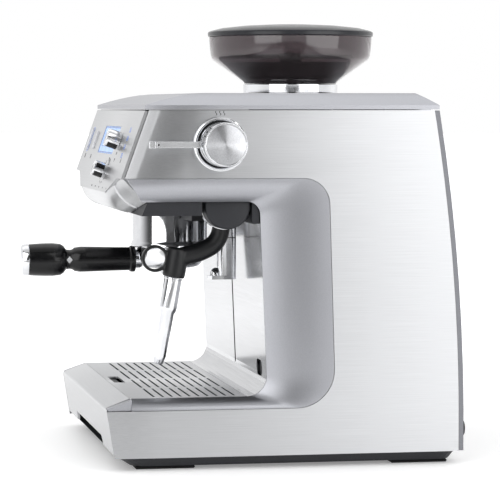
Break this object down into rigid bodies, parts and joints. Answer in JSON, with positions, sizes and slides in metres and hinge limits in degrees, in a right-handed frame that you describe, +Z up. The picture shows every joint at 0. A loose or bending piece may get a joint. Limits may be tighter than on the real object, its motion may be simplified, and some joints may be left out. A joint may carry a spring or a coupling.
{
  "type": "espresso machine",
  "caption": "Countertop bean-to-cup espresso machine with a grinder hopper, locking portafilter, steam wand, control dials and a slide-out drip tray.",
  "frame": {"origin": "on the surface it stands on, under the middle of the overall box", "axes": "+Z up; -Y is the front, where the portafilter handle points; +X is the side with the steam dial (the user's right)"},
  "size_m": [0.427, 0.436, 0.4485],
  "materials": {
    "brushed_steel": "brushed",
    "satin_silver": "satin silver",
    "chrome": "polished",
    "dark_metal": "dark",
    "black_plastic": "satin black",
    "grey_plastic": "fine texture",
    "button_plastic": "gloss",
    "rubber": "matt",
    "smoked_plastic": "smoked, translucent",
    "screen_glass": "lit blue screen",
    "brass": "turned",
    "cast_aluminium": "cast",
    "circuit_board": "printed board"
  },
  "bodies": {
    "cabinet": {"side_panel_right": "brushed_steel", "side_panel_left": "brushed_steel", "bay_surround_right": "satin_silver", "bay_surround_left": "satin_silver", "splashback": "brushed_steel", "level_window": "black_plastic", "descale_cover": "grey_plastic", "base_plate": "black_plastic", "foot_front_left": "rubber", "foot_front_right": "rubber", "foot_rear_left": "rubber", "foot_rear_right": "rubber", "rear_cover": "grey_plastic", "power_inlet": "black_plastic", "top_cover": "satin_silver", "cup_tray": "brushed_steel", "control_panel": "brushed_steel", "display": "screen_glass", "chin": "satin_silver", "underside_skirt": "black_plastic", "group_head": "chrome", "group_gasket": "rubber", "shower_screen": "brushed_steel", "hot_water_spout": "chrome", "steam_valve": "brass", "dial_bezel": "chrome", "joint_cover": "black_plastic", "grinder_housing": "cast_aluminium", "grinder_motor": "dark_metal", "upper_burr": "dark_metal", "grind_outlet": "chrome", "hopper_collar": "chrome", "brew_boiler": "brushed_steel", "steam_boiler": "brushed_steel", "water_pump": "dark_metal", "control_board": "circuit_board"},
    "select_dial": {"select_dial": "chrome"},
    "menu_dial": {"menu_dial": "chrome"},
    "power_button": {"power_button": "button_plastic"},
    "light_button": {"light_button": "button_plastic"},
    "steam_control": {"steam_knob": "chrome", "steam_lever": "chrome"},
    "steam_arm": {"steam_arm": "black_plastic", "steam_wand": "brushed_steel"},
    "portafilter": {"portafilter_body": "chrome", "filter_basket": "brushed_steel", "portafilter_spout": "chrome", "portafilter_handle": "black_plastic", "handle_cap": "chrome"},
    "drip_tray": {"drip_tray": "black_plastic", "tray_front": "brushed_steel"},
    "grille": {"grille": "brushed_steel"},
    "tray_float": {"tray_float": "grey_plastic"},
    "lower_burr": {"lower_burr": "dark_metal"},
    "tamp_fan": {"tamp_fan": "brushed_steel"},
    "hopper": {"hopper_body": "smoked_plastic"},
    "hopper_lock": {"hopper_lock": "black_plastic"},
    "hopper_lid": {"hopper_lid": "smoked_plastic"},
    "water_tank": {"water_tank": "smoked_plastic", "tank_lid": "satin_silver"}
  },
  "joints": [
    {"name": "select_dial_turn", "type": "hinge", "parent": "cabinet", "child": "select_dial", "pos_m": [0.0675, -0.11914, 0.32111], "axis": [0, -0.9414, 0.3372], "continuous": true},
    {"name": "menu_dial_turn", "type": "hinge", "parent": "cabinet", "child": "menu_dial", "pos_m": [0.0295, -0.13027, 0.29004], "axis": [0, -0.9414, 0.3372], "continuous": true},
    {"name": "power_button_press", "type": "slide", "parent": "cabinet", "child": "power_button", "axis": [0, 0.9414, -0.3372], "range_m": [0, 0.0012], "stiffness_N_per_m": 400},
    {"name": "light_button_press", "type": "slide", "parent": "cabinet", "child": "light_button", "axis": [0, 0.9414, -0.3372], "range_m": [0, 0.0012], "stiffness_N_per_m": 400},
    {"name": "steam_control_turn", "type": "hinge", "parent": "cabinet", "child": "steam_control", "pos_m": [0.1955, -0.0395, 0.3215], "axis": [1, 0, 0], "range_deg": [-22, 22]},
    {"name": "steam_arm_lift", "type": "hinge", "parent": "cabinet", "child": "steam_arm", "pos_m": [0.1175, -0.0285, 0.26], "axis": [1, 0, 0], "range_deg": [-22, 8]},
    {"name": "portafilter_lock", "type": "hinge", "parent": "cabinet", "child": "portafilter", "pos_m": [-0.0175, -0.06, 0.21], "axis": [0, 0, 1], "range_deg": [-45, 0]},
    {"name": "drip_tray_slide", "type": "slide", "parent": "cabinet", "child": "drip_tray", "axis": [0, -1, 0], "range_m": [0, 0.16]},
    {"name": "grille_lift", "type": "slide", "parent": "drip_tray", "child": "grille", "axis": [0, 0, 1], "range_m": [0, 0.025]},
    {"name": "float_rise", "type": "slide", "parent": "drip_tray", "child": "tray_float", "axis": [0, 0, 1], "range_m": [0, 0.006]},
    {"name": "burr_spin", "type": "hinge", "parent": "cabinet", "child": "lower_burr", "pos_m": [-0.1225, 0.091, 0.29], "axis": [0, 0, 1], "continuous": true},
    {"name": "tamp_fan_spin", "type": "hinge", "parent": "cabinet", "child": "tamp_fan", "pos_m": [-0.1255, -0.052, 0.24], "axis": [0, 0, 1], "continuous": true},
    {"name": "hopper_lift", "type": "slide", "parent": "cabinet", "child": "hopper", "axis": [0, 0, 1], "range_m": [0, 0.03]},
    {"name": "hopper_lock_turn", "type": "hinge", "parent": "hopper", "child": "hopper_lock", "pos_m": [-0.1225, 0.091, 0.4], "axis": [0, 0, 1], "range_deg": [0, 90]},
    {"name": "hopper_lid_lift", "type": "slide", "parent": "hopper", "child": "hopper_lid", "axis": [0, 0, 1], "range_m": [0, 0.03]},
    {"name": "water_tank_slide", "type": "slide", "parent": "cabinet", "child": "water_tank", "axis": [0, 1, 0], "range_m": [0, 0.1]}
  ]
}
